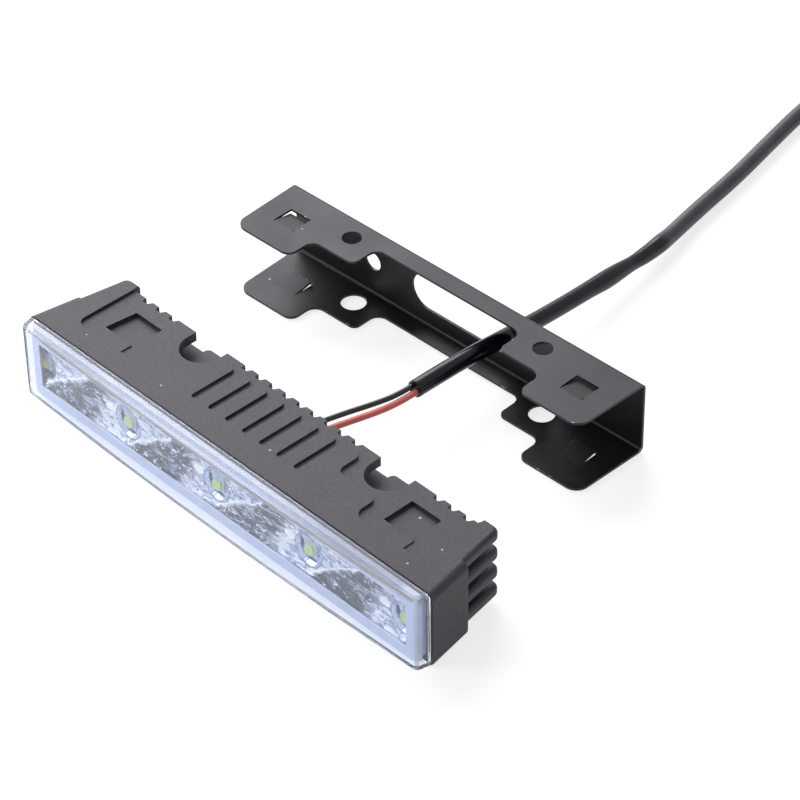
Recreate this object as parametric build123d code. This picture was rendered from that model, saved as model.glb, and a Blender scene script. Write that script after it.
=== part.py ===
from build123d import *
import math
import os

os.makedirs("parts", exist_ok=True)

# Lamp frame: X along the lamp, Y = 0 where the housing meets the lens, +Y to the back, Z = 0 on the table.

# Housing, front block
LAMP_LENGTH = 160.0
LAMP_HEIGHT = 25.0
BLOCK_DEPTH = 15.0
END_TAPER = 0.165
END_STEP = 1.4
END_ROLL = 2.2

# Housing, cooling plates behind the block
RAIL_BACK = 30.0
PLATE_BACK = 28.0
RAIL_WIDTH = 5.15
PLATE_COUNT = 4
PLATE_THICKNESS = 3.8
REAR_BOTTOM = 2.1
PLATE_CORNER = 2.2
PLATE_ROLL = 1.3

# Scalloped back edge: start of each row of grooves, and how many grooves it has
GROOVE_PITCH = 5.45
GROOVE_STARTS = [-63.4, -22.2, 52.3]
GROOVE_COUNTS = [3, 9, 3]
GROOVE_FLOOR_WIDTH = 2.0
GROOVE_MOUTH_WIDTH = 3.1
GROOVE_DEPTH = 1.5

# Rounded notches in the top and bottom plates
NOTCH_X = [-35.9, 37.8]
NOTCH_RADIUS = 6.5
NOTCH_FRONT = 18.1
BUMP_HALF_WIDTH = 4.0

# Clip bracket sheet
SHEET = 0.8
CLIP_HALF = 66.8
CLIP_END_TAPER = 1.0
CLIP_DEPTH = 26.0
CLIP_HEIGHT = 23.9
CLIP_BEND = 1.7
TAB_INNER_X = 43.8
EAR_INNER_X = 27.8
EAR_FRONT = 9.6
STRIP_FRONT = 19.2
CLIP_X = -6.87
CLIP_Y = 71.47
CLIP_YAW = 2.3

# Clip bracket holes
EAR_HOLE_X = 36.56
EAR_HOLE_Y = 18.1
TOP_HOLE_RADIUS = 2.95
BOTTOM_HOLE_RADIUS = 3.8
WEB_HOLE_X = 35.5
WEB_HOLE_RADIUS = 3.05
WEB_MID_Z = 12.1
WINDOW_HALF = 19.8
WINDOW_RADIUS = 5.9

# Clip bracket lances
LANCE_X = [51.0, 58.9]
LANCE_ROOT = 8.8
LANCE_TIP = 15.4
LANCE_SLOT_BACK = 16.0
LANCE_DROP = 1.1
LANCE_GAP = 0.25

# Recess on the housing that takes the clip
SEAT_FRONT = 7.0
SEAT_CLEARANCE = 1.4
SEAT_EAR_FRONT = 15.4
SEAT_STRIP_FRONT = 24.6
POCKET_DEPTH = 1.2
POCKET_X = [49.6, 61.6]
POCKET_SLANT = 1.2
POCKET_Y = [11.4, 21.9]
PAD_HEIGHT = 0.35
PADS = [(-62.3, -50.1), (48.4, 61.3)]

# Narrow slots between the fingers of the recess
SLOT_COUNT = 7
SLOT_PITCH = 6.78
SLOT_WIDTH = 2.0
SLOT_FRONT = 8.3
SLOT_MIDDLE_X = -0.9
FINGER_CORNER = 1.5

# Housing, inside
WALL = 3.0
FRONT_CAVITY_DEPTH = 2.6
DRIVER_HALF = 34.0
DRIVER_POCKET_BACK = 12.4
DRIVER_LEDGE = 2.5
DRIVER_BOARD_BACK = 7.8

# Lens
LENS_END_GAP = 0.6
LENS_EDGE_GAP = 0.2
LENS_CENTRE_DEPTH = 6.2
LENS_END_DEPTH = 4.7
LENS_WALL = 1.2
LENS_DRAFT = 1.0
LENS_CORNER = 2.0
LENS_ROUND = 1.2
SEAL_THICKNESS = 0.4

# Inner frame, reflector and boards
FRAME_CLEARANCE = 0.4
FRAME_FRONT = -2.6
FRAME_PLATE = 0.3
FRAME_RIM = 1.5
FRAME_RIM_DEPTH = 1.6
FRAME_CORNER = 1.4
OPENING_END = 7.0
OPENING_HALF_HEIGHT = 7.4
REFLECTOR_GAP = 0.3
BOARD_FRONT = 0.6
BOARD_THICKNESS = 1.6
DISH_DEPTH = 2.0
DISH_HALF_HEIGHT = 6.7
EMITTER_COUNT = 5
EMITTER_END = 7.8
EMITTER_MIDDLE_X = -1.0
EMITTER_SIDE = 4.6
EMITTER_BASE = 1.0
DOME_RADIUS = 2.4
DOME_SINK = 0.8
EMITTER_HOLE_RADIUS = 3.7
SCREW_RADIUS = 0.95
SCREW_HEAD_RADIUS = 1.9
SCREW_HEAD_HEIGHT = 1.2
SCREW_LENGTH = 7.0

# Wire exit at the back
EXIT_X = 3.6
EXIT_Z = 16.0
BOSS_RADIUS = 5.2
BOSS_BACK = 24.0
EXIT_HOLE_RADIUS = 3.1
GROMMET_FLANGE = 1.5
BAY_HALF = 6.4

# Wires and lead
BLACK_WIRE_DIAMETER = 1.6
RED_WIRE_DIAMETER = 1.9
LEAD_DIAMETER = 5.2
LEAD_FLOOR_GAP = 0.1
ARC_SHARE = 0.45
COIL_X = 14.5
COIL_Y = 308.0
COIL_MEAN_RADIUS = 29.0
COIL_TURNS = 3.25
COIL_STUB = 20.0
TAIL_STUB = 20.0

# Connector at the end of the lead
PLUG_LENGTH = 21.0
PLUG_WIDTH = 11.0
PLUG_HEIGHT = 8.4
PLUG_WALL = 1.2
PLUG_MOUTH_DEPTH = 11.0
PLUG_SEAL_LENGTH = 3.0
PLUG_SEAL_RADIUS = 3.6
BLADE_SPACING = 4.4
BLADE_LENGTH = 9.0

# Worked out from the sizes above
half_length = LAMP_LENGTH / 2
mid_z = LAMP_HEIGHT / 2
top_seat_z = LAMP_HEIGHT - SHEET
plate_pitch = (LAMP_HEIGHT - PLATE_THICKNESS - REAR_BOTTOM) / (PLATE_COUNT - 1)
board_back = BOARD_FRONT + BOARD_THICKNESS
cavity_half = half_length - WALL
cavity_low = WALL - SEAL_THICKNESS / 2
cavity_high = LAMP_HEIGHT - cavity_low
yaw = math.radians(CLIP_YAW)
lead_radius = LEAD_DIAMETER / 2
lead_floor_z = lead_radius + LEAD_FLOOR_GAP
opening_half = half_length - OPENING_END
emitter_pitch = 2 * (half_length - EMITTER_END) / (EMITTER_COUNT - 1)
screw_x = emitter_pitch * 1.5
emitter_x = [EMITTER_MIDDLE_X + emitter_pitch * (i - (EMITTER_COUNT - 1) / 2) for i in range(EMITTER_COUNT)]

# The part's origin is the middle of the lamp and clip together, on the table.
clip_back = CLIP_Y + CLIP_HALF * math.sin(yaw) + CLIP_DEPTH * math.cos(yaw)
origin_y = (clip_back - LENS_CENTRE_DEPTH) / 2


def box(x0, x1, y0, y1, z0, z1):
    """A box between three pairs of limits."""
    solid = Box(x1 - x0, y1 - y0, z1 - z0)
    return Pos((x0 + x1) / 2, (y0 + y1) / 2, (z0 + z1) / 2) * solid


def prism(points, radii, z0, z1):
    """An upright prism on an outline whose corners have the given radii."""
    outline = Polyline(*points, close=True)
    face = make_face(outline)
    for radius in sorted(set(r for r in radii if r > 0)):
        wanted = [p for p, r in zip(points, radii) if r == radius]
        corners = [v for v in face.vertices() if any(math.dist((v.X, v.Y), p) < 0.01 for p in wanted)]
        face = fillet(corners, radius)
    return Pos(0, 0, z0) * extrude(face, z1 - z0)


def rod(radius, start, direction, length):
    """A round bar from a point along a direction."""
    return extrude(Plane(origin=start, z_dir=direction) * Circle(radius), length)


def mirrored(points):
    """Points of the right half, followed by their mirror images in reverse."""
    return points + [(-x, y) for x, y in reversed(points)]


def end_x(depth, step):
    """Half length of the housing at a depth, less the step of the plates."""
    return half_length - step - END_TAPER * depth


def front_block():
    """The plain block that carries the lens, with rolled ends."""
    corners = mirrored([(end_x(0, 0), 0), (end_x(BLOCK_DEPTH, 0), BLOCK_DEPTH)])
    block = prism(corners, [0] * 4, 0, LAMP_HEIGHT)
    low_x = end_x(BLOCK_DEPTH, 0) - 0.1
    ends = [e for e in block.edges() if abs(e.center().X) > low_x and abs(e.center().Z - mid_z) > mid_z - 0.1]
    block = fillet(ends, END_ROLL)
    uprights = block.edges().filter_by(Axis.Z)
    uprights = [e for e in uprights if abs(e.center().Y - BLOCK_DEPTH) < 0.1]
    return fillet(uprights, 0.8)


def cooling_plate(low_z, with_bumps):
    """One level plate behind the block, with rolled rims and longer at its two ends."""
    start = BLOCK_DEPTH - 1.0
    high_z = low_z + PLATE_THICKNESS
    points = [(end_x(start, END_STEP), start), (end_x(RAIL_BACK, END_STEP), RAIL_BACK)]
    plate = prism(mirrored(points), [0, PLATE_CORNER, PLATE_CORNER, 0], low_z, high_z)
    rims = [e for e in plate.edges()
            if e.center().Y > start + 0.5 and abs(e.center().Z - (low_z + high_z) / 2) > PLATE_THICKNESS / 2 - 0.01]
    plate = fillet(rims, PLATE_ROLL)
    rail_inner = end_x(RAIL_BACK, END_STEP) - RAIL_WIDTH
    between = [(rail_inner, RAIL_BACK + 1), (rail_inner, PLATE_BACK)]
    plate -= prism(mirrored(between), [0] * 4, low_z - 1, high_z + 1)
    if with_bumps:
        for x in NOTCH_X:
            low, high = x - BUMP_HALF_WIDTH, x + BUMP_HALF_WIDTH
            bump = [(low, PLATE_BACK - 2), (low, RAIL_BACK), (high, RAIL_BACK), (high, PLATE_BACK - 2)]
            plate += prism(bump, [0, 1.6, 1.6, 0], low_z, high_z)
    return plate


def grooves():
    """Upright grooves that scallop the back edges of all plates."""
    cuts = Part()
    floor_y = PLATE_BACK - GROOVE_DEPTH
    for first_x, count in zip(GROOVE_STARTS, GROOVE_COUNTS):
        for i in range(count):
            x = first_x + i * GROOVE_PITCH
            points = [(x, PLATE_BACK + 0.3), (x, floor_y), (x + GROOVE_FLOOR_WIDTH, floor_y)]
            points += [(x + GROOVE_MOUTH_WIDTH, PLATE_BACK + 0.3)]
            cuts += prism(points, [0, 0.4, 0.6, 0], -1, LAMP_HEIGHT + 1)
    return cuts


def notch(x, z0, z1):
    """A rounded notch that is open to the back."""
    front = NOTCH_FRONT + NOTCH_RADIUS
    cut = box(x - NOTCH_RADIUS, x + NOTCH_RADIUS, front, RAIL_BACK + 1, z0, z1)
    return cut + rod(NOTCH_RADIUS, (x, front, z0), (0, 0, 1), z1 - z0)


def seat_outline():
    """Outline of the recess for one flange of the clip, right half first."""
    side = CLIP_HALF + SEAT_CLEARANCE
    points = [(side, RAIL_BACK + 2), (side, SEAT_FRONT), (TAB_INNER_X - 0.6, SEAT_FRONT)]
    points += [(TAB_INNER_X - 0.6, SEAT_EAR_FRONT), (EAR_INNER_X, SEAT_EAR_FRONT)]
    points += [(EAR_INNER_X, SEAT_STRIP_FRONT)]
    radii = [0, 2.8, 3.2, 2.4, 2.6, 2.6]
    return mirrored(points), radii + radii[::-1]


def top_recess():
    """Shallow recess on top: the clip's seat, the narrow slots and the rounded fingers between them."""
    points, radii = seat_outline()
    cut = prism(points, radii, top_seat_z, LAMP_HEIGHT + 1)
    for i in range(SLOT_COUNT):
        x = SLOT_MIDDLE_X + SLOT_PITCH * (i - (SLOT_COUNT - 1) / 2)
        low, high = x - SLOT_WIDTH / 2, x + SLOT_WIDTH / 2
        slot = [(low, PLATE_BACK), (low, SLOT_FRONT), (high, SLOT_FRONT), (high, PLATE_BACK)]
        cut += prism(slot, [0, 0.95, 0.95, 0], top_seat_z, LAMP_HEIGHT + 1)
    corners = [e for e in cut.edges().filter_by(Axis.Z)
               if abs(e.center().Y - SEAT_STRIP_FRONT) < 0.05 and abs(e.center().X) < EAR_INNER_X - 4]
    return fillet(corners, FINGER_CORNER)


def lance_pocket(side):
    """Deeper pocket that a lance of the clip snaps into."""
    near, far = POCKET_X
    front, back = POCKET_Y
    points = [(side * near, front), (side * far, front)]
    points += [(side * (far - POCKET_SLANT), back), (side * near, back)]
    return prism(points, [0.4] * 4, top_seat_z - POCKET_DEPTH, LAMP_HEIGHT + 1)


def housing():
    """Die-cast body with every opening cut."""
    body = front_block()
    for i in range(PLATE_COUNT):
        body += cooling_plate(REAR_BOTTOM + i * plate_pitch, i in (1, 2))
    body -= grooves()
    for x in NOTCH_X:
        body -= notch(x, LAMP_HEIGHT - PLATE_THICKNESS - 0.1, LAMP_HEIGHT + 1)
        body -= notch(x, -1, REAR_BOTTOM + PLATE_THICKNESS + 0.1)
    body -= top_recess()
    points, radii = seat_outline()
    body -= prism(points, radii, -1, REAR_BOTTOM)
    body -= lance_pocket(-1)
    body -= lance_pocket(1)
    for low, high in PADS:
        body += box(low, high, SEAT_FRONT, POCKET_Y[0], top_seat_z - 0.1, top_seat_z + PAD_HEIGHT)
    body -= box(-cavity_half, cavity_half, -1, FRONT_CAVITY_DEPTH, cavity_low, cavity_high)
    inner = DRIVER_HALF - DRIVER_LEDGE
    low_z = cavity_low + DRIVER_LEDGE
    high_z = cavity_high - DRIVER_LEDGE
    body -= box(-DRIVER_HALF, DRIVER_HALF, 0, DRIVER_BOARD_BACK, low_z - 1, high_z + 1)
    body -= box(-inner, inner, 0, DRIVER_POCKET_BACK, low_z, high_z)
    bay_low, bay_high = EXIT_Z - BAY_HALF, EXIT_Z + BAY_HALF - 1.2
    body -= box(EXIT_X - BAY_HALF, EXIT_X + BAY_HALF, BOSS_BACK, RAIL_BACK + 1, bay_low, bay_high)
    body += rod(BOSS_RADIUS, (EXIT_X, BLOCK_DEPTH - 0.5, EXIT_Z), (0, 1, 0), BOSS_BACK - BLOCK_DEPTH + 0.5)
    body -= rod(EXIT_HOLE_RADIUS, (EXIT_X, DRIVER_POCKET_BACK - 1, EXIT_Z), (0, 1, 0), RAIL_BACK)
    for x in (-screw_x, screw_x):
        body -= rod(SCREW_RADIUS + 0.05, (x + EMITTER_MIDDLE_X, FRONT_CAVITY_DEPTH - 1, mid_z), (0, 1, 0), 7.0)
    return body


def lens_shell(inset):
    """The lens's outer form, or its hollow when inset by the wall."""
    end = half_length - LENS_END_GAP - inset
    front_end = end - LENS_DRAFT
    back = -SEAL_THICKNESS + (0 if inset == 0 else 1)
    side_y = -LENS_END_DEPTH + inset
    centre_y = -LENS_CENTRE_DEPTH + inset
    outline = Line((-end, back), (-front_end, side_y))
    outline += ThreePointArc((-front_end, side_y), (0, centre_y), (front_end, side_y))
    outline += Line((front_end, side_y), (end, back))
    outline += Line((end, back), (-end, back))
    low, high = LENS_EDGE_GAP + inset, LAMP_HEIGHT - LENS_EDGE_GAP - inset
    form = Pos(0, 0, low) * extrude(make_face(outline), high - low)
    corners = [e for e in form.edges().filter_by(Axis.Z) if e.center().Y < -1.5]
    form = fillet(corners, LENS_CORNER if inset == 0 else LENS_CORNER / 2)
    if inset == 0:
        rims = [e for e in form.edges() if abs(e.center().Z - mid_z) > mid_z - 0.5 and e.center().Y < back - 0.5]
        form = fillet(rims, LENS_ROUND)
    return form


def lens():
    """Clear hollow cover."""
    return lens_shell(0) - lens_shell(LENS_WALL)


def lens_seal():
    """Thin ring of glue between lens and housing."""
    outer_x = half_length - 2 * LENS_END_GAP
    inner_x = half_length - LENS_END_GAP - LENS_WALL
    low_out, low_in = LENS_EDGE_GAP + 0.5, LENS_EDGE_GAP + LENS_WALL
    ring = box(-outer_x, outer_x, -SEAL_THICKNESS, 0, low_out, LAMP_HEIGHT - low_out)
    return ring - box(-inner_x, inner_x, -1, 1, low_in, LAMP_HEIGHT - low_in)


def inner_frame():
    """Pale frame round the reflector: a rim that fills the lens, and a skirt that stands on the light board."""
    side = cavity_half - FRAME_CLEARANCE
    low = cavity_low + FRAME_CLEARANCE
    high = LAMP_HEIGHT - low
    skirt = 1.0
    rim_back = FRAME_FRONT + FRAME_RIM_DEPTH
    rim = box(-side, side, FRAME_FRONT, rim_back, FRAME_RIM, LAMP_HEIGHT - FRAME_RIM)
    corners = [e for e in rim.edges().filter_by(Axis.Z) if e.center().Y < rim_back - 0.1]
    frame = fillet(corners, FRAME_CORNER) + box(-side, side, rim_back, BOARD_FRONT, low, high)
    frame -= box(-side + skirt, side - skirt, FRAME_FRONT + FRAME_PLATE + 0.2, 9, low + skirt, high - skirt)
    opening_low, opening_high = mid_z - OPENING_HALF_HEIGHT, mid_z + OPENING_HALF_HEIGHT
    return frame - box(-opening_half, opening_half, -9, 9, opening_low, opening_high)


def reflector():
    """Chromed block with one shallow dish for each emitter."""
    side = opening_half - REFLECTOR_GAP
    height = OPENING_HALF_HEIGHT - REFLECTOR_GAP
    front = FRAME_FRONT + FRAME_PLATE
    block = box(-side, side, front, BOARD_FRONT, mid_z - height, mid_z + height)
    half = emitter_pitch / 2
    round_z = (DISH_HALF_HEIGHT ** 2 + DISH_DEPTH ** 2) / (2 * DISH_DEPTH)
    arc = ThreePointArc((-half, round_z - DISH_DEPTH), (0, round_z), (half, round_z - DISH_DEPTH))
    barrel = revolve(make_face(arc + Polyline((half, round_z - DISH_DEPTH), (half, 0), (-half, 0),
                                              (-half, round_z - DISH_DEPTH))), Axis.X)
    for x in emitter_x:
        block -= Pos(x, front + DISH_DEPTH - round_z, mid_z) * barrel
        block -= rod(EMITTER_HOLE_RADIUS, (x, front - 1, mid_z), (0, 1, 0), 9)
    for x in (-screw_x, screw_x):
        centre = (x + EMITTER_MIDDLE_X, BOARD_FRONT - SCREW_HEAD_HEIGHT - 0.3, mid_z)
        block -= rod(SCREW_HEAD_RADIUS + 0.3, centre, (0, 1, 0), 9)
    return block


def emitter(x):
    """Light emitter: square base and clear dome."""
    half = EMITTER_SIDE / 2
    front = BOARD_FRONT - EMITTER_BASE
    base = box(x - half, x + half, front, BOARD_FRONT, mid_z - half, mid_z + half)
    ball = Pos(x, front + DOME_SINK, mid_z) * Sphere(DOME_RADIUS)
    return base + ball - box(x - 9, x + 9, BOARD_FRONT, BOARD_FRONT + 9, 0, LAMP_HEIGHT)


def light_board():
    """Metal-core board with its two screw holes."""
    side = cavity_half - FRAME_CLEARANCE
    low = cavity_low + FRAME_CLEARANCE
    board = box(-side, side, BOARD_FRONT, board_back, low, LAMP_HEIGHT - low)
    for x in (-screw_x, screw_x):
        board -= rod(SCREW_RADIUS + 0.15, (x + EMITTER_MIDDLE_X, 0, mid_z), (0, 1, 0), 9)
    return board


def thermal_pad():
    """Soft sheet that fills the gap behind the light board."""
    side = cavity_half - 2 * FRAME_CLEARANCE
    low = cavity_low + 2 * FRAME_CLEARANCE
    pad = box(-side, side, board_back, FRONT_CAVITY_DEPTH, low, LAMP_HEIGHT - low)
    for x in (-screw_x, screw_x):
        pad -= rod(SCREW_RADIUS + 0.3, (x + EMITTER_MIDDLE_X, 0, mid_z), (0, 1, 0), 9)
    return pad


def board_screw(x):
    """Pan-head screw that holds the light board."""
    centre = x + EMITTER_MIDDLE_X
    head_front = BOARD_FRONT - SCREW_HEAD_HEIGHT
    head = rod(SCREW_HEAD_RADIUS, (centre, head_front, mid_z), (0, 1, 0), SCREW_HEAD_HEIGHT)
    shank = rod(SCREW_RADIUS, (centre, BOARD_FRONT - 0.1, mid_z), (0, 1, 0), SCREW_LENGTH)
    recess = rod(0.7, (centre, head_front, mid_z), (0, 1, 0), 0.7)
    return head + shank - recess


def driver_board():
    """Circuit board on the ledge of the driver pocket."""
    side = DRIVER_HALF - 0.4
    low = cavity_low + DRIVER_LEDGE - 0.6
    return box(-side, side, DRIVER_BOARD_BACK - BOARD_THICKNESS, DRIVER_BOARD_BACK, low, LAMP_HEIGHT - low)


def driver_pieces():
    """The three largest pieces on the back of the driver board."""
    inductor = rod(3.4, (-17, DRIVER_BOARD_BACK, mid_z), (0, 1, 0), 3.4)
    inductor -= rod(1.2, (-17, DRIVER_BOARD_BACK + 2.4, mid_z), (0, 1, 0), 3)
    capacitor = rod(2.6, (18, DRIVER_BOARD_BACK, mid_z + 2), (0, 1, 0), 4.0)
    chip = box(-6.5, -1.5, DRIVER_BOARD_BACK, DRIVER_BOARD_BACK + 1.5, mid_z - 2, mid_z + 2)
    return {"inductor": inductor, "capacitor": capacitor, "control_chip": chip}


def grommet():
    """Rubber bush in the boss at the back."""
    body = rod(EXIT_HOLE_RADIUS - 0.02, (EXIT_X, DRIVER_POCKET_BACK + 0.4, EXIT_Z), (0, 1, 0),
               BOSS_BACK - DRIVER_POCKET_BACK - 0.4)
    flange = rod(BOSS_RADIUS - 0.6, (EXIT_X, BOSS_BACK, EXIT_Z), (0, 1, 0), GROMMET_FLANGE)
    return body + flange


def flange_plan(z0, z1):
    """Plan of the folded sheet: tabs with rounded corners, ears and a narrow strip between them."""
    back = CLIP_DEPTH + 1
    points = [(CLIP_HALF, back), (CLIP_HALF - CLIP_END_TAPER, 0), (TAB_INNER_X, 0), (TAB_INNER_X, EAR_FRONT)]
    points += [(EAR_INNER_X, EAR_FRONT), (EAR_INNER_X, STRIP_FRONT)]
    radii = [0, 4.2, 3.0, 3.3, 2.2, 3.2]
    return prism(mirrored(points), radii + radii[::-1], z0, z1)


def lance(side, top):
    """Tongue bent inward from a flange, with its root to the front."""
    near, far = LANCE_X
    outer = CLIP_HEIGHT if top else 0
    sign = -1 if top else 1
    inner = outer + sign * SHEET
    points = [(LANCE_ROOT, outer), (LANCE_TIP, outer + sign * LANCE_DROP)]
    points += [(LANCE_TIP, inner + sign * LANCE_DROP), (LANCE_ROOT, inner)]
    profile = make_face(Polyline(*[(0, y, z) for y, z in points], close=True))
    width = far - near - 2 * LANCE_GAP
    tongue = extrude(profile, width / 2, both=True, dir=(1, 0, 0))
    return Pos(side * (near + far) / 2, 0, 0) * tongue


def clip_local():
    """Folded clip bracket in its own frame: front edge at Y = 0, web at the back."""
    outer = box(-CLIP_HALF, CLIP_HALF, 0, CLIP_DEPTH, 0, CLIP_HEIGHT)
    back_edges = [e for e in outer.edges().filter_by(Axis.X) if e.center().Y > 1]
    outer = fillet(back_edges, CLIP_BEND)
    hollow = box(-CLIP_HALF - 1, CLIP_HALF + 1, -5, CLIP_DEPTH - SHEET, SHEET, CLIP_HEIGHT - SHEET)
    hollow_edges = [e for e in hollow.edges().filter_by(Axis.X) if e.center().Y > 1]
    hollow = fillet(hollow_edges, CLIP_BEND - SHEET)
    sheet = (outer - hollow) & flange_plan(-1, CLIP_HEIGHT + 1)
    for side in (-1, 1):
        x = side * EAR_HOLE_X
        sheet -= rod(TOP_HOLE_RADIUS, (x, EAR_HOLE_Y, CLIP_HEIGHT - 3), (0, 0, 1), 6)
        sheet -= rod(BOTTOM_HOLE_RADIUS, (x, EAR_HOLE_Y, -3), (0, 0, 1), 6)
        sheet -= rod(WEB_HOLE_RADIUS, (side * WEB_HOLE_X, CLIP_DEPTH - 3, WEB_MID_Z), (0, 1, 0), 6)
        near, far = sorted(side * x for x in LANCE_X)
        sheet -= box(near, far, LANCE_ROOT, LANCE_SLOT_BACK, -3, CLIP_HEIGHT + 3)
        sheet += lance(side, True)
        sheet += lance(side, False)
    window = box(-WINDOW_HALF + WINDOW_RADIUS, WINDOW_HALF - WINDOW_RADIUS, CLIP_DEPTH - 3, CLIP_DEPTH + 3,
                 WEB_MID_Z - WINDOW_RADIUS, WEB_MID_Z + WINDOW_RADIUS)
    for side in (-1, 1):
        centre = (side * (WINDOW_HALF - WINDOW_RADIUS), CLIP_DEPTH - 3, WEB_MID_Z)
        window += rod(WINDOW_RADIUS, centre, (0, 1, 0), 6)
    return sheet - window


def clip_bracket():
    """The clip where it lies behind the lamp, turned a little."""
    return Pos(CLIP_X, CLIP_Y, 0) * Rot(0, 0, CLIP_YAW) * clip_local()


def turn_at(before, point, after):
    """Angle in degrees by which a route turns at a point."""
    return (Vector(*point) - Vector(*before)).get_angle(Vector(*after) - Vector(*point))


def tube(name, points, diameter):
    """Round tube along straight runs joined by the largest tangent arcs that fit."""
    radii = []
    for i in range(1, len(points) - 1):
        turn = turn_at(points[i - 1], points[i], points[i + 1])
        shorter = min(math.dist(points[i - 1], points[i]), math.dist(points[i], points[i + 1]))
        radii.append(ARC_SHARE * shorter / math.tan(math.radians(turn / 2)))
    path = FilletPolyline(*points, radius=radii)
    profile = Plane(origin=path @ 0, z_dir=path % 0) * Circle(diameter / 2)
    solid = sweep(profile, path=path)
    wanted = math.pi * diameter ** 2 / 4 * path.length
    print(name, "length", round(path.length, 1), "smallest radius", round(min(radii), 1),
          "volume share", round(solid.volume / wanted, 4))
    return solid


# Routes in the lamp frame. The lead runs from the sleeve's mouth through the clip's window to the coil.
grommet_back = BOSS_BACK + GROMMET_FLANGE
coil_track = COIL_MEAN_RADIUS + lead_radius
tail_y = COIL_Y + coil_track
tail_z = 3 * lead_radius
plug_z = PLUG_HEIGHT / 2
black_route = [(2.5, grommet_back, 16.8), (2.5, 30.0, 16.8), (4.6, 39.0, 16.6), (7.4, 48.5, 16.4),
               (8.7, 55.5, 16.1), (8.7, 61.1, 16.1)]
red_route = [(4.6, grommet_back, 15.4), (4.6, 29.5, 15.4), (6.6, 37.0, 15.4), (9.0, 46.0, 15.2),
             (10.2, 54.0, 14.8), (10.2, 61.1, 14.8)]
lead_route = [(9.5, 61.1, 15.3), (9.5, 74.0, 15.3), (9.0, 87.0, 14.2), (8.1, 103.0, 11.8), (6.9, 122.0, 9.5),
              (4.6, 143.9, 6.8), (2.4, 164.9, 3.9), (-3.2, 189.4, lead_floor_z), (-6.4, 209.5, lead_floor_z),
              (-11.4, 232.0, lead_floor_z), (-14.8, 248.0, lead_floor_z), (-16.7, 262.0, lead_floor_z),
              (COIL_X - coil_track, 275.0, lead_floor_z), (COIL_X - coil_track, COIL_Y - COIL_STUB, lead_floor_z)]
tail_route = [(COIL_X + TAIL_STUB, tail_y, tail_z), (COIL_X + 29, tail_y, tail_z), (COIL_X + 42, tail_y - 1.2, 5.8),
              (COIL_X + 56, tail_y - 4.6, plug_z), (COIL_X + 69, tail_y - 9.6, plug_z)]


def lead_coil():
    """Closed ring of the put-away turns, with the straight ends of the lead that meet its neighbours."""
    side = 2 * LEAD_DIAMETER + 2 * LEAD_FLOOR_GAP
    section = Plane.XZ * Pos(COIL_MEAN_RADIUS, side / 2) * RectangleRounded(side, side, lead_radius * 0.9)
    ring = Pos(COIL_X, COIL_Y, 0) * revolve(section, Axis.Z)
    ring += rod(lead_radius, (COIL_X - coil_track, COIL_Y - COIL_STUB, lead_floor_z), (0, 1, 0), COIL_STUB)
    ring += rod(lead_radius, (COIL_X, tail_y, tail_z), (1, 0, 0), TAIL_STUB)
    return ring


def connector():
    """Two-way connector: seal, housing with a latch, and two blades, built along X and then turned."""
    seal = rod(PLUG_SEAL_RADIUS, (0, 0, 0), (1, 0, 0), PLUG_SEAL_LENGTH)
    low_x, high_x = PLUG_SEAL_LENGTH, PLUG_SEAL_LENGTH + PLUG_LENGTH
    half_w, half_h = PLUG_WIDTH / 2, PLUG_HEIGHT / 2
    body = box(low_x, high_x, -half_w, half_w, -half_h, half_h)
    body = fillet(body.edges().filter_by(Axis.X), 1.0)
    mouth_x = high_x - PLUG_MOUTH_DEPTH
    body -= box(mouth_x, high_x + 1, -half_w + PLUG_WALL, half_w - PLUG_WALL, -half_h + PLUG_WALL, half_h - PLUG_WALL)
    body += box(low_x + 3, high_x - 4, -2.0, 2.0, half_h - 0.2, half_h + 1.4)
    pieces = {"connector_seal": seal, "connector_housing": body}
    for name, y in (("terminal_1", -BLADE_SPACING / 2), ("terminal_2", BLADE_SPACING / 2)):
        pieces[name] = box(mouth_x, mouth_x + BLADE_LENGTH, y - 0.75, y + 0.75, -0.35, 0.35)
    end, before = tail_route[-1], tail_route[-2]
    heading = math.degrees(math.atan2(end[1] - before[1], end[0] - before[0]))
    return {name: Pos(*end) * Rot(0, 0, heading) * piece for name, piece in pieces.items()}


nodes = {
    "housing": housing(),
    "lens": lens(),
    "lens_seal": lens_seal(),
    "inner_frame": inner_frame(),
    "reflector": reflector(),
    "light_board": light_board(),
    "thermal_pad": thermal_pad(),
    "board_screw_left": board_screw(-screw_x),
    "board_screw_right": board_screw(screw_x),
    "driver_board": driver_board(),
    "grommet": grommet(),
    "clip_bracket": clip_bracket(),
    "black_wire": tube("black wire", black_route, BLACK_WIRE_DIAMETER),
    "red_wire": tube("red wire", red_route, RED_WIRE_DIAMETER),
    "lead": tube("lead", lead_route, LEAD_DIAMETER),
    "lead_coil": lead_coil(),
    "lead_tail": tube("lead tail", tail_route, LEAD_DIAMETER),
}
for i, x in enumerate(emitter_x):
    nodes["emitter_" + str(i + 1)] = emitter(x)
nodes.update(driver_pieces())
nodes.update(connector())

print("origin y in the lamp frame", round(origin_y, 3))
print("coil length", round(COIL_TURNS * 2 * math.pi * COIL_MEAN_RADIUS, 1))
for name, shape in nodes.items():
    export_step(Pos(0, -origin_y, 0) * shape, "parts/" + name + ".step")
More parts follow.
